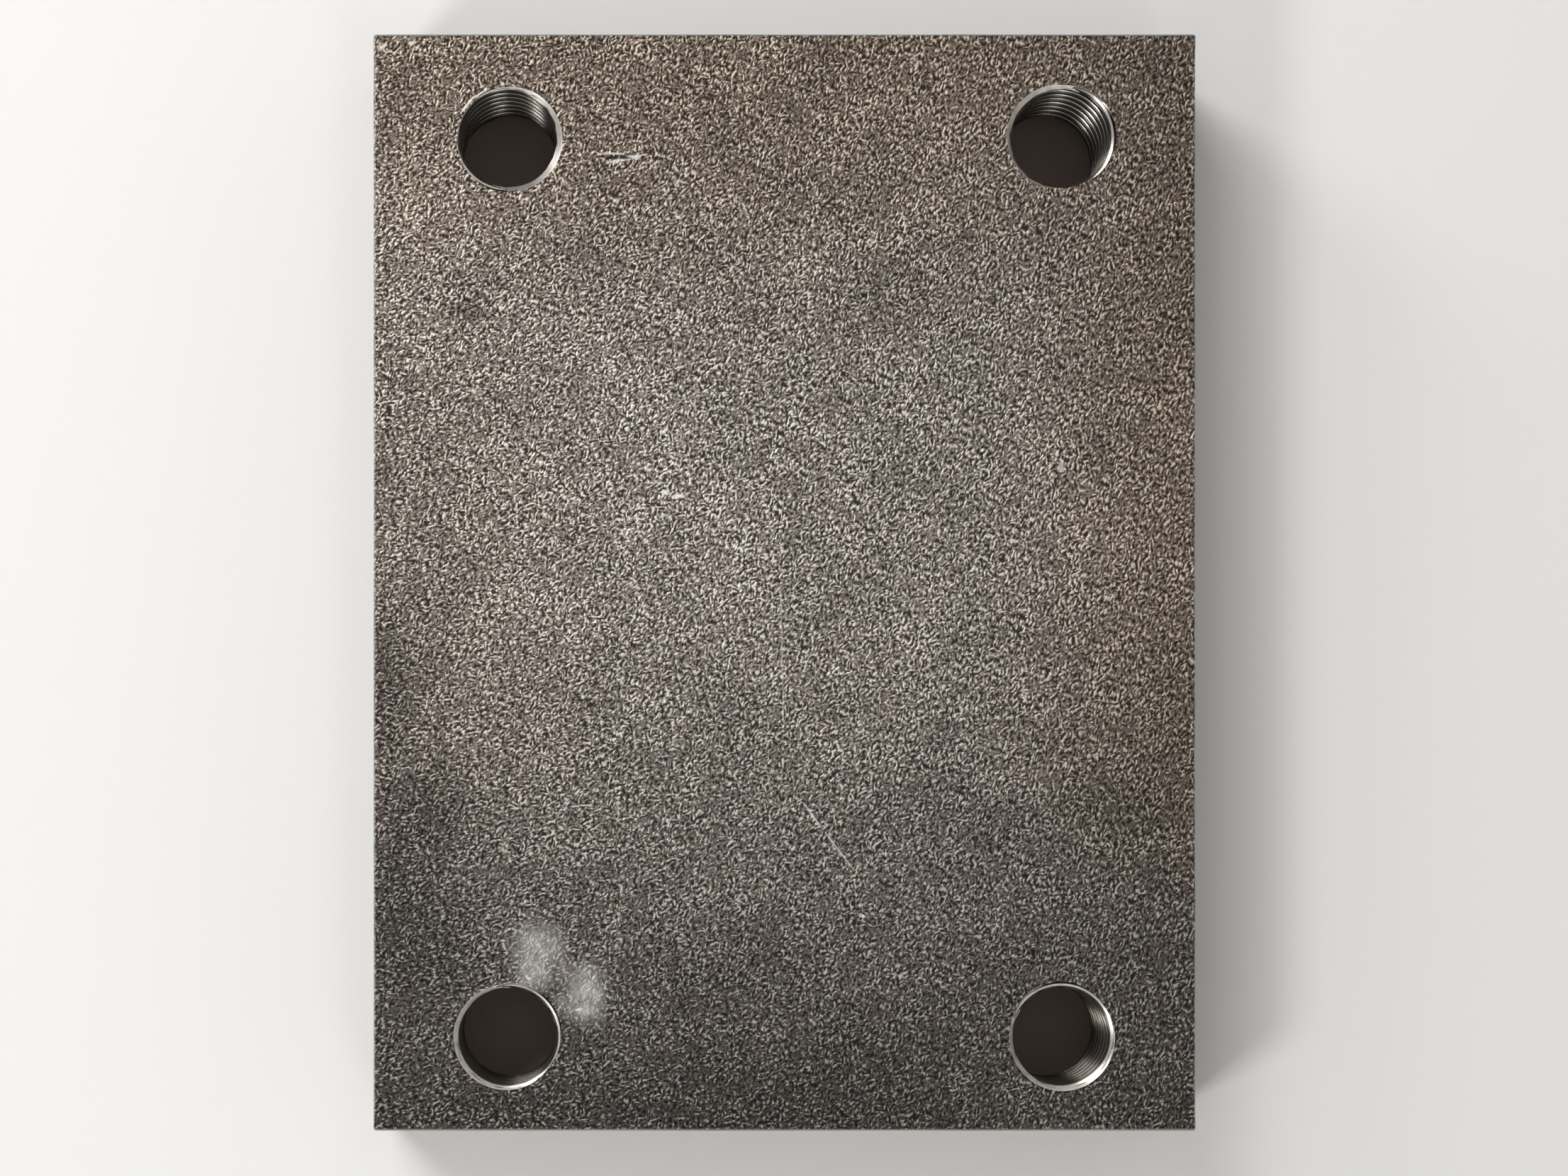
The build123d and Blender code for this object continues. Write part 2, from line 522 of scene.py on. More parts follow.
# Long sides of the mild-steel flat, as rolled. That gives thin blue-grey scale with faint streaks drawn
# out along the bar, a fine pitted grain, bare steel near the edges, and a few rusty specks.
rolledSide = {
    "streakLength": 60.0,   # mm
    "streakWidth": 1.1,     # mm
    "speckSize": 0.55,      # mm
    "blotSize": 7.0,        # mm
    "speckShare": 0.75,
    "dark": "#3d3c3c",
    "middle": "#595857",
    "light": "#7c7a78",
    "rust": "#5d4a3f",
    "rustShare": 0.5,
    "rustRange": (0.56, 0.74),
    "rustRoughness": 0.25,
    "bare": "#a5a09b",
    "bareRange": (0.22, 0.52),  # of the wear times the specks
    "metallic": 0.65,
    "roughness": 0.5,
    "bump": 0.03,           # mm
}


def rolledFlatSide():
    material, tree = newMaterial("rolledFlatSide")
    look = rolledSide
    place = addNode(tree, "ShaderNodeTexCoord")
    drawn = addNode(tree, "ShaderNodeVectorMath", {0: place.outputs["Object"], 1: (
        1 / (look["streakWidth"] * mm), 1 / (look["streakLength"] * mm), 1 / (look["streakWidth"] * mm))},
        operation="MULTIPLY")
    streaks = addNode(tree, "ShaderNodeTexNoise", {
        "Vector": drawn, "Scale": 1.0, "Detail": 2.0, "Roughness": 0.5})
    specks = addNode(tree, "ShaderNodeTexNoise", {
        "Vector": place.outputs["Object"], "Scale": 1 / (look["speckSize"] * mm), "Detail": 2.0})
    height = addNode(tree, "ShaderNodeMix", {"Factor": look["speckShare"], "A": streaks, "B": specks})
    colour = addNode(tree, "ShaderNodeValToRGB", {"Fac": height}, stops=[
        (0.36, look["dark"]), (0.5, look["middle"]), (0.66, look["light"])])
    blots = addNode(tree, "ShaderNodeTexNoise", {
        "Vector": place.outputs["Object"], "Scale": 1 / (look["blotSize"] * mm), "Detail": 6.0,
        "Roughness": 0.7})
    rusty = addNode(tree, "ShaderNodeMapRange", {
        "Value": blots, "From Min": look["rustRange"][0], "From Max": look["rustRange"][1],
        "To Max": look["rustShare"]})
    colour = addNode(tree, "ShaderNodeMix", {
        0: rusty, 6: colour, 7: linear(look["rust"])}, data_type="RGBA")
    wear = addNode(tree, "ShaderNodeAttribute", attribute_name="wear")
    rubbed = addNode(tree, "ShaderNodeMath", {0: wear.outputs["Fac"], 1: specks}, operation="MULTIPLY")
    rubbed = addNode(tree, "ShaderNodeMapRange", {
        "Value": rubbed, "From Min": look["bareRange"][0], "From Max": look["bareRange"][1]})
    colour = addNode(tree, "ShaderNodeMix", {
        0: rubbed, 6: colour, 7: linear(look["bare"])}, data_type="RGBA")
    rough = addNode(tree, "ShaderNodeMath", {
        0: rusty, 1: look["rustRoughness"], 2: look["roughness"]}, operation="MULTIPLY_ADD")
    steelSurface(tree, look, colour, rough, height)
    return material


# Ends of the mild-steel flat, cut by band saw. That gives brighter steel with fine straight scores along
# the blade's travel, and a light bloom of rust in soft patches.
sawnEnd = {
    "scoreLength": 150.0,   # mm
    "scoreWidth": 0.5,      # mm between scores
    "bloomSize": 12.0,      # mm
    "dark": "#6b6866",
    "middle": "#83807d",
    "light": "#a19d99",
    "bloom": "#7b6b60",
    "bloomShare": 0.4,
    "bloomRange": (0.5, 0.75),
    "bloomRoughness": 0.3,
    "rubbedRange": (0.55, 1.0),
    "rubbedShare": 0.5,
    "metallic": 0.8,
    "roughness": 0.42,
    "bump": 0.03,           # mm
}


def bandSawnSteel():
    material, tree = newMaterial("bandSawnSteel")
    look = sawnEnd
    place = addNode(tree, "ShaderNodeTexCoord")
    drawn = addNode(tree, "ShaderNodeVectorMath", {0: place.outputs["Object"], 1: (
        1 / (look["scoreLength"] * mm), 1 / (look["scoreWidth"] * mm), 1 / (look["scoreWidth"] * mm))},
        operation="MULTIPLY")
    scores = addNode(tree, "ShaderNodeTexNoise", {
        "Vector": drawn, "Scale": 1.0, "Detail": 2.0, "Roughness": 0.6})
    colour = addNode(tree, "ShaderNodeValToRGB", {"Fac": scores}, stops=[
        (0.35, look["dark"]), (0.5, look["middle"]), (0.65, look["light"])])
    blooms = addNode(tree, "ShaderNodeTexNoise", {
        "Vector": place.outputs["Object"], "Scale": 1 / (look["bloomSize"] * mm), "Detail": 6.0,
        "Roughness": 0.65})
    bloomed = addNode(tree, "ShaderNodeMapRange", {
        "Value": blooms, "From Min": look["bloomRange"][0], "From Max": look["bloomRange"][1],
        "To Max": look["bloomShare"]})
    colour = addNode(tree, "ShaderNodeMix", {
        0: bloomed, 6: colour, 7: linear(look["bloom"])}, data_type="RGBA")
    wear = addNode(tree, "ShaderNodeAttribute", attribute_name="wear")
    rubbed = addNode(tree, "ShaderNodeMapRange", {
        "Value": wear.outputs["Fac"], "From Min": look["rubbedRange"][0], "From Max": look["rubbedRange"][1],
        "To Max": look["rubbedShare"]})
    colour = addNode(tree, "ShaderNodeMix", {
        0: rubbed, 6: colour, 7: linear(look["light"])}, data_type="RGBA")
    rough = addNode(tree, "ShaderNodeMath", {
        0: bloomed, 1: look["bloomRoughness"], 2: look["roughness"]}, operation="MULTIPLY_ADD")
    steelSurface(tree, look, colour, rough, scores)
    return material


# Mild steel, tapped and countersunk. That gives bright cut metal with fine turned marks and oily smears.
# Its thread is painted with light and shade: dark roots as painted shade, flanks bright as a painted
# highlight, darker crests as a painted dark reflection, and the bore painted darker towards its bottom.
cutThread = {
    "markWidth": 0.14,      # mm between turned marks; a real tool leaves them finer than shows here
    "oilSize": 1.8,         # mm
    "markRange": (0.72, 1.25),
    "root": "#0d0b0a",
    "flankHighlight": "#f4efe8",
    "crest": "#403c37",
    "mouth": "#f2ede4",
    "oil": "#4a3d30",
    "deepStart": 18.0,      # mm up from the underside: below it the bore is painted darker, as shade deep in the hole
    "deepEnd": 6.0,
    "paintedDepthShade": 0.75,
    "oilShare": 0.3,
    "oilRange": (0.45, 0.7),
    "oilRoughness": 0.12,
    "metallic": 0.9,
    "roughness": 0.22,
    "mouthRoughness": 0.36, # the countersink tool chattered
    "mouthWear": (0.36, 0.46),  # the wear over which a wall turns into a mouth
    "bump": 0.012,          # mm
}


def tappedSteel():
    material, tree = newMaterial("tappedSteel")
    look = cutThread
    wear = addNode(tree, "ShaderNodeAttribute", attribute_name="wear")
    # painted light and shade on the thread: near-black roots are painted shade, the flanks painted bright as
    # a highlight on cut metal, and the crests darker as a painted dark reflection
    colour = addNode(tree, "ShaderNodeValToRGB", {"Fac": wear.outputs["Fac"]}, stops=[
        (0.06, look["root"]), (0.13, look["flankHighlight"]), (0.21, look["flankHighlight"]), (0.28, look["crest"]),
        (0.34, look["crest"]), (look["mouthWear"][1], look["mouth"])])
    turned = addNode(tree, "ShaderNodeAttribute", attribute_name="turned")
    marks = addNode(tree, "ShaderNodeMath", {
        0: turned.outputs["Fac"], 1: 1 / look["markWidth"]}, operation="MULTIPLY")
    marks = addNode(tree, "ShaderNodeTexNoise", {
        "W": marks, "Scale": 1.0, "Detail": 1.0}, noise_dimensions="1D")
    markTone = addNode(tree, "ShaderNodeMapRange", {
        "Value": marks, "From Min": 0.3, "From Max": 0.7,
        "To Min": look["markRange"][0], "To Max": look["markRange"][1]})
    colour = addNode(tree, "ShaderNodeVectorMath", {0: colour, "Scale": markTone}, operation="SCALE")
    place = addNode(tree, "ShaderNodeTexCoord")
    height = addNode(tree, "ShaderNodeSeparateXYZ", {0: place.outputs["Object"]})
    # painted shade: the bore gets darker towards its bottom, where little light reaches
    deep = addNode(tree, "ShaderNodeMapRange", {
        "Value": height.outputs["Z"], "From Min": look["deepEnd"] * mm, "From Max": look["deepStart"] * mm,
        "To Min": look["paintedDepthShade"]})
    colour = addNode(tree, "ShaderNodeVectorMath", {0: colour, "Scale": deep}, operation="SCALE")
    smears = addNode(tree, "ShaderNodeTexNoise", {
        "Vector": place.outputs["Object"], "Scale": 1 / (look["oilSize"] * mm), "Detail": 3.0})
    oily = addNode(tree, "ShaderNodeMapRange", {
        "Value": smears, "From Min": look["oilRange"][0], "From Max": look["oilRange"][1],
        "To Max": look["oilShare"]})
    colour = addNode(tree, "ShaderNodeMix", {
        0: oily, 6: colour, 7: linear(look["oil"])}, data_type="RGBA")
    rough = addNode(tree, "ShaderNodeMapRange", {
        "Value": wear.outputs["Fac"], "From Min": look["mouthWear"][0], "From Max": look["mouthWear"][1],
        "To Min": look["roughness"], "To Max": look["mouthRoughness"]})
    rough = addNode(tree, "ShaderNodeMath", {
        0: oily, 1: look["oilRoughness"], 2: rough}, operation="MULTIPLY_ADD")
    steelSurface(tree, look, colour, rough, marks)
    return material


# The plate's own shape. Everything here is in mm until the mesh is made.
plate = {
    "cornerRadius": 0.5,
    "cornerParts": 4,
    "rolledEdge": 0.8,
    "filedEdge": 0.4,
    "cornerBlend": (1.0, 5.0),  # from the corner: the rolled edge's round dies into the filed break
    "edgeWear": 0.22,           # part of the edge's size by which it comes and goes
    "edgeSlow": {"rate": 0.11, "seed": 3.7, "share": 1.0},
    "edgeQuick": {"rate": 0.5, "seed": 9.1, "share": 0.6},
    "columnStep": 1.5,
    "sideRows": 40,
    "edgeRows": 4,
    "sawDepth": 0.05,
    "sawSlope": 0.045,          # the blade ran a little out of level
    "sawPitches": (1.9, 3.1, 7.3),
    "sawShares": (1.0, 0.7, 0.5),
    "sawWander": 0.3,
    "sideWave": 0.06,
    "faceGrid": 2.4,
    "faceWave": 0.03,
    "faceRate": 0.04,           # waves a mm
    "topSeed": 11.0,
    "undersideSeed": 23.0,
    "faceClear": 1.2,           # between the face's own points and its edges
    "holeClear": 1.3,           # and the holes
    "markClear": 0.5,           # and the marks
    "markHoleClear": 0.12,      # between a mark's points and the holes
    "sharpAbove": 28,           # degrees
}
# How rubbed each place is, from 0 in a root or hollow to 1 on an edge; in the bores the same number also
# picks the thread's painted shade and highlight
rubbing = {
    "side": 0.3,
    "edgeFoot": 0.4,
    "face": 0.5,
    "crest": 0.35,
}

# M20 x 2.5, cut with a tap after a light countersink
tapping = {
    "pitch": 2.5,
    "rootRadius": 10.0,
    "widestMouth": 11.0,
    "rootFlat": 0.3125,
    "flankSlope": math.tan(math.radians(30)),
    "columns": 96,
    "mouthRows": 7,
    "mouthDepth": 1.15,
    "endGap": 0.07,
    "wander": 0.05,             # how far a countersink's edge strays from a true circle
    "wanderRate": 3,
    "mouthEdge": 0.03,
}

# How each countersink sits on its bore: offset and radius at the top face, and where the thread starts
mouths = {
    "tapped_hole_back_left": {"offset": (0.42, -0.4), "radius": 9.55, "start": 0.25},
    "tapped_hole_back_right": {"offset": (-0.55, 0.05), "radius": 9.45, "start": 0.55},
    "tapped_hole_front_left": {"offset": (-0.34, -0.20), "radius": 9.55, "start": 0.62},
    "tapped_hole_front_right": {"offset": (0.10, -0.34), "radius": 9.6, "start": 0.78},
}

# Which material each face takes
finishes = {"millFace": 0, "rolledSide": 1, "sawnEnd": 2, "tapped": 3}


def addVertex(build, x, y, z, wear=rubbing["face"], turned=0.0):
    # one vertex in mm; turned counts mm across the tool's marks
    build["places"].append((x * mm, y * mm, z * mm))
    build["wear"].append(wear)
    build["turned"].append(turned)
    return len(build["places"]) - 1


def addFace(build, corners, finish):
    # one face, without the corners that fell together, and none at all if fewer than three are left
    kept = [c for i, c in enumerate(corners) if c != corners[i - 1]]
    if len(set(kept)) > 2:
        build["faces"].append(kept)
        build["finish"].append(finishes[finish])


def edgeSize(x, y, rolled):
    # how far the edge's round or break reaches in, at one place of the outline
    size = plate["filedEdge"]
    if rolled:
        size += (plate["rolledEdge"] - size) * smooth(halfLength - abs(y), *plate["cornerBlend"])
    worn = 0.5
    for wave in (plate["edgeSlow"], plate["edgeQuick"]):
        rate = wave["rate"]
        worn += wave["share"] * noise.noise(Vector((x * rate, y * rate, wave["seed"])))
    return size * (1 - plate["edgeWear"] * worn)


def outlineColumns():
    # the plate's outline, once round from the front right corner: place, outward direction, side
    corner = plate["cornerRadius"]
    straightX, straightY = halfWidth - corner, halfLength - corner
    runs = [
        ((halfWidth, -straightY), (halfWidth, straightY), (1, 0), True),
        ((straightX, halfLength), (-straightX, halfLength), (0, 1), False),
        ((-halfWidth, straightY), (-halfWidth, -straightY), (-1, 0), True),
        ((-straightX, -halfLength), (straightX, -halfLength), (0, -1), False),
    ]
    columns = []
    for number, (begin, end, outward, rolled) in enumerate(runs):
        parts = round(math.dist(begin, end) / plate["columnStep"])
        for i in range(parts + 1):
            x = begin[0] + (end[0] - begin[0]) * i / parts
            y = begin[1] + (end[1] - begin[1]) * i / parts
            columns.append({"x": x, "y": y, "out": outward, "rolled": rolled})
        middle = (math.copysign(straightX, end[0]), math.copysign(straightY, end[1]))
        for i in range(1, plate["cornerParts"]):
            angle = (number + i / plate["cornerParts"]) * tau / 4
            out = (math.cos(angle), math.sin(angle))
            columns.append({"x": middle[0] + corner * out[0], "y": middle[1] + corner * out[1],
                            "out": out, "rolled": False})
    return columns


def sideDepth(column, z):
    # how far the side lies inside the straight outline
    x, y = column["x"], column["y"]
    if column["rolled"]:
        return plate["sideWave"] * (0.5 + 0.5 * noise.noise(Vector((x * 0.05, y * 0.03, z * 0.09))))
    stroke = z + plate["sawSlope"] * x
    stroke += plate["sawWander"] * noise.noise(Vector((x * 0.02, y, z * 0.2)))
    waves = sum(share * math.sin(stroke * tau / pitch)
                for share, pitch in zip(plate["sawShares"], plate["sawPitches"]))
    return plate["sawDepth"] * (0.5 + 0.5 * waves / sum(plate["sawShares"]))


def faceDepth(x, y, top):
    # how far the face lies inside the flat plane; nicks go deeper and scrapes stand proud
    rate = plate["faceRate"]
    seed = plate["topSeed"] if top else plate["undersideSeed"]
    depth = plate["faceWave"] * (0.5 + 0.5 * noise.noise(Vector((x * rate, y * rate, seed))))
    if top:
        depth += markShape["nickDepth"] * strongest(nicks, x, y)
        depth -= markShape["lipHeight"] * strongest(scrapes, x, y)
    return max(depth, 0.0)


def sideRing(build, column):
    # one column of the sides: up the lower edge, the side and the upper edge
    edge = edgeSize(column["x"], column["y"], column["rolled"])
    rows = plate["edgeRows"]
    profile = []
    for i in range(rows + 1):
        bend = i / rows * tau / 4
        rubbed = rubbing["edgeFoot"] + (1 - rubbing["edgeFoot"]) * math.sin(2 * bend)
        if column["rolled"]:
            profile.append((edge * (1 - math.sin(bend)), edge * (1 - math.cos(bend)), rubbed))
        else:
            profile.append((edge * (1 - i / rows), edge * i / rows, rubbed))
    flatPart = thickness - 2 * edge
    inner = [(0.0, edge + flatPart * i / plate["sideRows"], rubbing["side"])
             for i in range(1, plate["sideRows"])]
    upper = [(inset, thickness - z, rubbed) for inset, z, rubbed in reversed(profile)]
    ring = []
    for inset, z, rubbed in profile + inner + upper:
        inset += sideDepth(column, z)
        x = column["x"] - column["out"][0] * inset
        y = column["y"] - column["out"][1] * inset
        if z == 0:
            z = faceDepth(x, y, False)
        elif z == thickness:
            z = thickness - faceDepth(x, y, True)
        ring.append(addVertex(build, x, y, z, rubbed))
    return ring


def makeSides(build):
    columns = outlineColumns()
    rings = [sideRing(build, column) for column in columns]
    for number, ring in enumerate(rings):
        after = rings[(number + 1) % len(rings)]
        for i in range(len(ring) - 1):
            onEdge = i < plate["edgeRows"] or i >= len(ring) - 1 - plate["edgeRows"]
            finish = "sawnEnd"
            if columns[number]["rolled"]:
                finish = "millFace" if onEdge else "rolledSide"
            addFace(build, [ring[i], after[i], after[i + 1], ring[i + 1]], finish)
    print("sides:", len(rings), "columns of", len(rings[0]))
    return rings


def throughCircle(offset, radius, angle):
    # distance from the bore's middle to an offset circle, in one direction
    along = offset[0] * math.cos(angle) + offset[1] * math.sin(angle)
    return along + math.sqrt(max(radius ** 2 - offset[0] ** 2 - offset[1] ** 2 + along ** 2, 0.0))


def threadRadius(hole, angle, z):
    # the tapped wall: a groove that climbs one pitch a turn, cut into the bore
    pitch = tapping["pitch"]
    turn = (z / pitch - angle / tau + hole["start"]) % 1.0
    fromGroove = abs(turn - 0.5) * pitch
    groove = tapping["rootRadius"] - max(fromGroove - tapping["rootFlat"] / 2, 0.0) / tapping["flankSlope"]
    return max(hole["bore"], groove)


def mouthRadius(hole, angle, z):
    # the countersinks at the two faces, which narrow at 45 degrees
    rate = tapping["wanderRate"]
    around = Vector((rate * math.cos(angle), rate * math.sin(angle), hole["start"]))
    stray = tapping["wander"] * noise.noise(around)
    topCone = throughCircle(hole["offset"], hole["radius"] - (thickness - z), angle) + stray
    bottomCone = hole["bore"] + hole["flare"] - z + min(stray, 0.0)
    return max(topCone, bottomCone)


def rimRadius(hole, x, y):
    # how wide the hole's mouth is on the top face, in the direction of a place
    angle = math.atan2(y - hole["centre"][1], x - hole["centre"][0])
    return max(threadRadius(hole, angle, thickness), mouthRadius(hole, angle, thickness))


def holeList():
    # each tapped hole: its own look from above, and its place and sizes from the record
    holes = []
    for mount in frame["record"]["mounts"]:
        if mount["name"] in mouths:
            hole = dict(mouths[mount["name"]])
            hole["centre"] = (mount["pos_m"][0] / mm, mount["pos_m"][1] / mm)
            hole["bore"] = mount["dims"]["r_mm"]
            hole["flare"] = (thickness - mount["dims"]["length_mm"]) / 2
            holes.append(hole)
    return holes


def makeHole(build, hole):
    # helical rows for the thread, between two mouth bands of level rows
    pitch = tapping["pitch"]
    count = tapping["columns"]
    rootHalf = tapping["rootFlat"] / 2
    grooveHalf = (tapping["rootRadius"] - hole["bore"]) * tapping["flankSlope"] + rootHalf
    flankMid = (rootHalf + grooveHalf) / 2
    steps = [-pitch / 2, -grooveHalf, -flankMid, -rootHalf, rootHalf, flankMid, grooveHalf]
    lowBand = tapping["mouthDepth"]
    highBand = thickness - tapping["mouthDepth"]

    def wallVertex(angle, z):
        thread = threadRadius(hole, angle, z)
        mouth = mouthRadius(hole, angle, z)
        radius = max(thread, mouth)
        x = hole["centre"][0] + radius * math.cos(angle)
        y = hole["centre"][1] + radius * math.sin(angle)
        height = 1 - smooth(thread, hole["bore"], tapping["rootRadius"])
        onFace = z in (0, thickness)
        inMouth = mouth > thread - tapping["mouthEdge"]
        # in the bore, this number picks the thread's painted shade and highlight from root to crest
        wear = rubbing["face"] if onFace or inMouth else rubbing["crest"] * height
        turned = z + radius
        if z == 0:
            z = faceDepth(x, y, False)
        elif z == thickness:
            z = thickness - faceDepth(x, y, True)
        return addVertex(build, x, y, z, wear, turned)

    def levelRows(low, high):
        rows = []
        for i in range(tapping["mouthRows"] + 1):
            z = low + (high - low) * i / tapping["mouthRows"]
            rows.append([wallVertex(tau * j / count, z) for j in range(count)])
        return rows

    lowRows = levelRows(0, lowBand)
    highRows = levelRows(highBand, thickness)
    helix = {}

    def helixVertex(j, i):
        # the helix climbs one pitch a turn, so the last column meets the first one a turn higher
        if j == count:
            j, i = 0, i + len(steps)
        turn, step = divmod(i, len(steps))
        angle = tau * j / count
        z = (turn - 0.5 - hole["start"] + angle / tau) * pitch + steps[step]
        if z < lowBand + tapping["endGap"]:
            return lowRows[-1][j]
        if z > highBand - tapping["endGap"]:
            return highRows[0][j]
        if (j, i) not in helix:
            helix[j, i] = wallVertex(angle, z)
        return helix[j, i]

    for rows in (lowRows, highRows):
        for below, above in zip(rows, rows[1:]):
            for j in range(count):
                k = (j + 1) % count
                addFace(build, [below[k], below[j], above[j], above[k]], "tapped")
    turns = math.ceil(thickness / pitch) + 3
    for j in range(count):
        for i in range(turns * len(steps)):
            addFace(build, [helixVertex(j + 1, i), helixVertex(j, i),
                            helixVertex(j, i + 1), helixVertex(j + 1, i + 1)], "tapped")
    return highRows[-1], lowRows[0]


def facePoints(holes, top):
    # a loose grid over the face, clear of its edges and holes, and close rows along each mark
    clear = plate["faceClear"]
    step = plate["faceGrid"]
    columns = round(2 * halfWidth / step)
    rows = round(2 * halfLength / step)
    fine = list(scrapes.values()) + list(nicks.values()) if top else []
    points = []
    for i in range(1, columns):
        for j in range(1, rows):
            x = -halfWidth + 2 * halfWidth * i / columns
            y = -halfLength + 2 * halfLength * j / rows
            if not any(nearMark(mark, x, y, plate["markClear"]) for mark in fine):
                points.append((x, y, plate["holeClear"]))
    for mark in fine:
        points += [(x, y, plate["markHoleClear"]) for x, y in markPoints(mark)]
    return [(x, y) for x, y, keepOut in points
            if abs(x) < halfWidth - clear and abs(y) < halfLength - clear
            and all(math.dist((x, y), hole["centre"]) > rimRadius(hole, x, y) + keepOut for hole in holes)]


def insideLoop(loop, x, y):
    # whether a place is inside a closed line, by the sides crossed on the way out
    inside = False
    for (ax, ay), (bx, by) in zip(loop, loop[1:] + loop[:1]):
        if (ay > y) != (by > y) and x < ax + (bx - ax) * (y - ay) / (by - ay):
            inside = not inside
    return inside


def fillFace(build, top, outline, holes, mouthLoops):
    # triangles between the outline and the hole mouths, through the face's own points
    known = []
    edges = []
    for loop in [outline] + mouthLoops:
        base = len(known)
        known += loop
        edges += [(base + i, base + (i + 1) % len(loop)) for i in range(len(loop))]
    for x, y in facePoints(holes, top):
        depth = faceDepth(x, y, top)
        known.append(addVertex(build, x, y, thickness - depth if top else depth))
    flat = [Vector((build["places"][v][0] / mm, build["places"][v][1] / mm)) for v in known]
    mouthLines = [[tuple(build["places"][v][k] / mm for k in (0, 1)) for v in loop] for loop in mouthLoops]
    spots, _, triangles, origins, _, _ = delaunay_2d_cdt(flat, edges, [], 1, 1e-5, True)
    for triangle in triangles:
        x = sum(spots[v].x for v in triangle) / 3
        y = sum(spots[v].y for v in triangle) / 3
        inMouth = any(math.dist((x, y), hole["centre"]) < tapping["widestMouth"]
                      and insideLoop(line, x, y) for hole, line in zip(holes, mouthLines))
        if not inMouth:
            corners = [known[origins[v][0]] for v in triangle]
            addFace(build, corners if top else corners[::-1], "millFace")
    print("face:", len(known), "points", "on top" if top else "underneath")


def surfaceValues(build):
    # what the mill face's material reads from the mesh, at each vertex
    values = {"tone": [], "tint": [], "grease": [], "scrape": [], "nick": []}
    for place in build["places"]:
        x, y, z = (part / mm for part in place)
        onTop = z > thickness - 1
        values["tone"].append(toneAt(x, y) if onTop else margins["underside"])
        values["tint"].append(tintAt(x, y) if onTop else tints["neutral"])
        values["grease"].append(greaseAt(x, y) if onTop else 0.0)
        values["scrape"].append(strongest(scrapes, x, y) if onTop else 0.0)
        values["nick"].append(strongest(nicks, x, y) if onTop else 0.0)
    return values


def platePiece():
    build = {"places": [], "faces": [], "finish": [], "wear": [], "turned": []}
    rings = makeSides(build)
    holes = holeList()
    topLoops, underLoops = [], []
    for hole in holes:
        topLoop, underLoop = makeHole(build, hole)
        topLoops.append(topLoop)
        underLoops.append(underLoop)
    print("holes:", len(holes), "tapped")
    fillFace(build, True, [ring[-1] for ring in rings], holes, topLoops)
    fillFace(build, False, [ring[0] for ring in rings], holes, underLoops)
    mesh = bpy.data.meshes.new("tappedPlate")
    mesh.from_pydata(build["places"], [], build["faces"])
    for material in (pickledHotRolledSteel(), rolledFlatSide(), bandSawnSteel(), tappedSteel()):
        mesh.materials.append(material)
    mesh.polygons.foreach_set("material_index", build["finish"])
    values = surfaceValues(build)
    values["wear"] = build["wear"]
    values["turned"] = build["turned"]
    for name, numbers in values.items():
        mesh.attributes.new(name, "FLOAT", "POINT").data.foreach_set("value", numbers)
    mesh.validate()
    mesh.shade_smooth()
    mesh.set_sharp_from_angle(angle=math.radians(plate["sharpAbove"]))
    triangles = sum(len(face) - 2 for face in build["faces"])
    print("plate:", len(build["places"]), "vertices,", triangles, "triangles")
    piece = bpy.data.objects.new("tappedPlate", mesh)
    bpy.context.scene.collection.objects.link(piece)
    return piece


plateObject = platePiece()
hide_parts("steel_plate")
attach(plateObject, "root")

# The studio, in metres: a paper disc that bends up into a round wall
studio = {
    "floorRadius": 1.2,
    "bend": 0.5,
    "bendParts": 8,
    "wallTop": 1.3,
    "roundParts": 64,
    "floorColour": "#f6f5f3",
    "underPlate": "#e6d1c5",    # only seen down the holes
    "underSize": 0.985,         # as parts of the plate's own half sizes, as are the next two
    "underEdge": (1.0, 1.15),
    "floorGlow": 0.05,
    "world": 0.21,
    "worldColour": "#fffdfa",
}

# azimuth counts from +X towards +Y, both angles in degrees; size and distance in metres, power in watts
lamps = {
    "keyUpperLeft": {"azimuth": 127, "elevation": 45, "distance": 1.2, "size": 0.55, "power": 5.4},
    "keyLowerLeft": {"azimuth": 220, "elevation": 41, "distance": 1.2, "size": 0.24, "power": 4.3},
    "lowUpperLeft": {"azimuth": 138, "elevation": 18, "distance": 1.2, "size": 0.4, "power": 4.3},
    "lowerRight": {"azimuth": 288, "elevation": 44, "distance": 1.2, "size": 0.25, "power": 0.85},
}


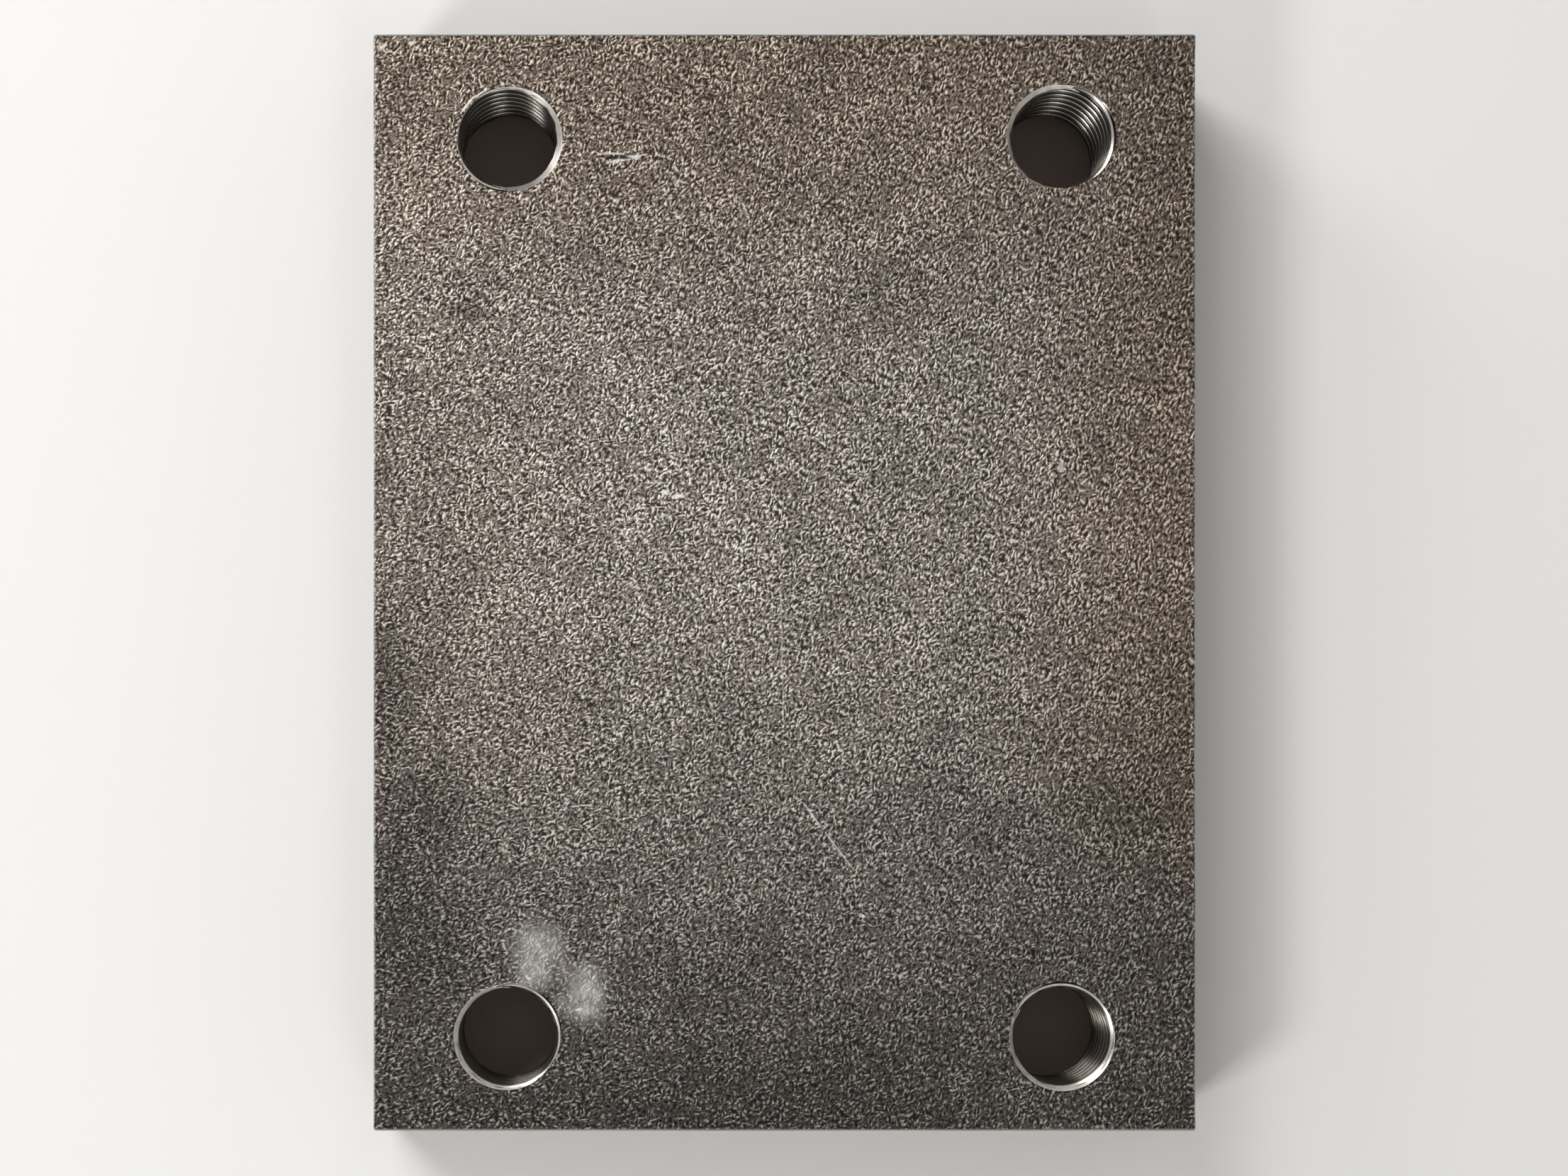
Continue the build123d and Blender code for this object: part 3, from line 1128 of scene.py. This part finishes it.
def mattePaper():
    # plain matte paper, browner where the plate lies on it, with a faint glow for a near-white background
    material, tree = newMaterial("mattePaper")
    place = addNode(tree, "ShaderNodeTexCoord")
    spread = addNode(tree, "ShaderNodeVectorMath", {
        0: place.outputs["Object"], 1: (1 / boxHigh.x, 1 / boxHigh.y, 0.0)}, operation="MULTIPLY")
    spread = addNode(tree, "ShaderNodeVectorMath", {0: spread}, operation="ABSOLUTE")
    spread = addNode(tree, "ShaderNodeSeparateXYZ", {0: spread})
    spread = addNode(tree, "ShaderNodeMath", {
        0: spread.outputs["X"], 1: spread.outputs["Y"]}, operation="MAXIMUM")
    inner, outer = studio["underEdge"]
    clear = addNode(tree, "ShaderNodeMapRange", {"Value": spread, "From Min": inner, "From Max": outer})
    beside = addNode(tree, "ShaderNodeMath", {0: spread, 1: studio["underSize"]}, operation="GREATER_THAN")
    colour = addNode(tree, "ShaderNodeMix", {
        0: beside, 6: linear(studio["underPlate"]), 7: linear(studio["floorColour"])}, data_type="RGBA")
    matte = addNode(tree, "ShaderNodeBsdfDiffuse", {"Color": colour})
    path = addNode(tree, "ShaderNodeLightPath")
    seen = addNode(tree, "ShaderNodeMath", {
        0: path.outputs["Is Camera Ray"], 1: path.outputs["Is Glossy Ray"]}, operation="MAXIMUM")
    seen = addNode(tree, "ShaderNodeMath", {
        0: seen, 1: path.outputs["Is Transmission Ray"]}, operation="MAXIMUM")
    strength = addNode(tree, "ShaderNodeMath", {0: seen, 1: clear}, operation="MULTIPLY")
    strength = addNode(tree, "ShaderNodeMath", {0: strength, 1: studio["floorGlow"]}, operation="MULTIPLY")
    glow = addNode(tree, "ShaderNodeEmission", {"Color": linear("#ffffff"), "Strength": strength})
    both = addNode(tree, "ShaderNodeAddShader", {0: matte, 1: glow})
    addNode(tree, "ShaderNodeOutputMaterial", {"Surface": both})
    return material


def paleStage():
    # rings of points from the middle of the floor out to the wall's top
    profile = [(studio["floorRadius"] / 2, 0.0)]
    for i in range(studio["bendParts"] + 1):
        angle = tau / 4 * i / studio["bendParts"]
        profile.append((studio["floorRadius"] + studio["bend"] * math.sin(angle),
                        studio["bend"] * (1 - math.cos(angle))))
    profile.append((studio["floorRadius"] + studio["bend"], studio["wallTop"]))
    parts = studio["roundParts"]
    points = [(0.0, 0.0, 0.0)]
    for radius, height in profile:
        points += [(radius * math.cos(tau * i / parts), radius * math.sin(tau * i / parts), height)
                   for i in range(parts)]
    faces = [(0, 1 + i, 1 + (i + 1) % parts) for i in range(parts)]
    for ring in range(len(profile) - 1):
        for i in range(parts):
            a, b = 1 + ring * parts + i, 1 + ring * parts + (i + 1) % parts
            faces.append((a, a + parts, b + parts, b))
    mesh = bpy.data.meshes.new("paleStage")
    mesh.from_pydata(points, [], faces)
    mesh.shade_smooth()
    mesh.materials.append(mattePaper())
    stage = bpy.data.objects.new("paleStage", mesh)
    bpy.context.scene.collection.objects.link(stage)


def makeLamps():
    # square lamps that face the plate, and a dim pale room all round
    for name, lamp in lamps.items():
        data = bpy.data.lights.new(name, "AREA")
        data.shape = "SQUARE"
        data.size = lamp["size"]
        data.energy = lamp["power"]
        light = bpy.data.objects.new(name, data)
        bpy.context.scene.collection.objects.link(light)
        azimuth, elevation = math.radians(lamp["azimuth"]), math.radians(lamp["elevation"])
        direction = Vector((math.cos(azimuth) * math.cos(elevation),
                            math.sin(azimuth) * math.cos(elevation), math.sin(elevation)))
        light.location = direction * lamp["distance"]
        light.rotation_euler = direction.to_track_quat("Z", "Y").to_euler()
        light.visible_camera = False
    world = bpy.data.worlds.new("softRoom")
    bpy.context.scene.world = world
    world.use_nodes = True
    world.node_tree.nodes.clear()
    sky = addNode(world.node_tree, "ShaderNodeBackground", {
        "Color": linear(studio["worldColour"]), "Strength": studio["world"]})
    addNode(world.node_tree, "ShaderNodeOutputWorld", {"Surface": sky})


paleStage()
makeLamps()
bpy.context.scene.view_settings.view_transform = "Standard"
print("stage and lamps made")
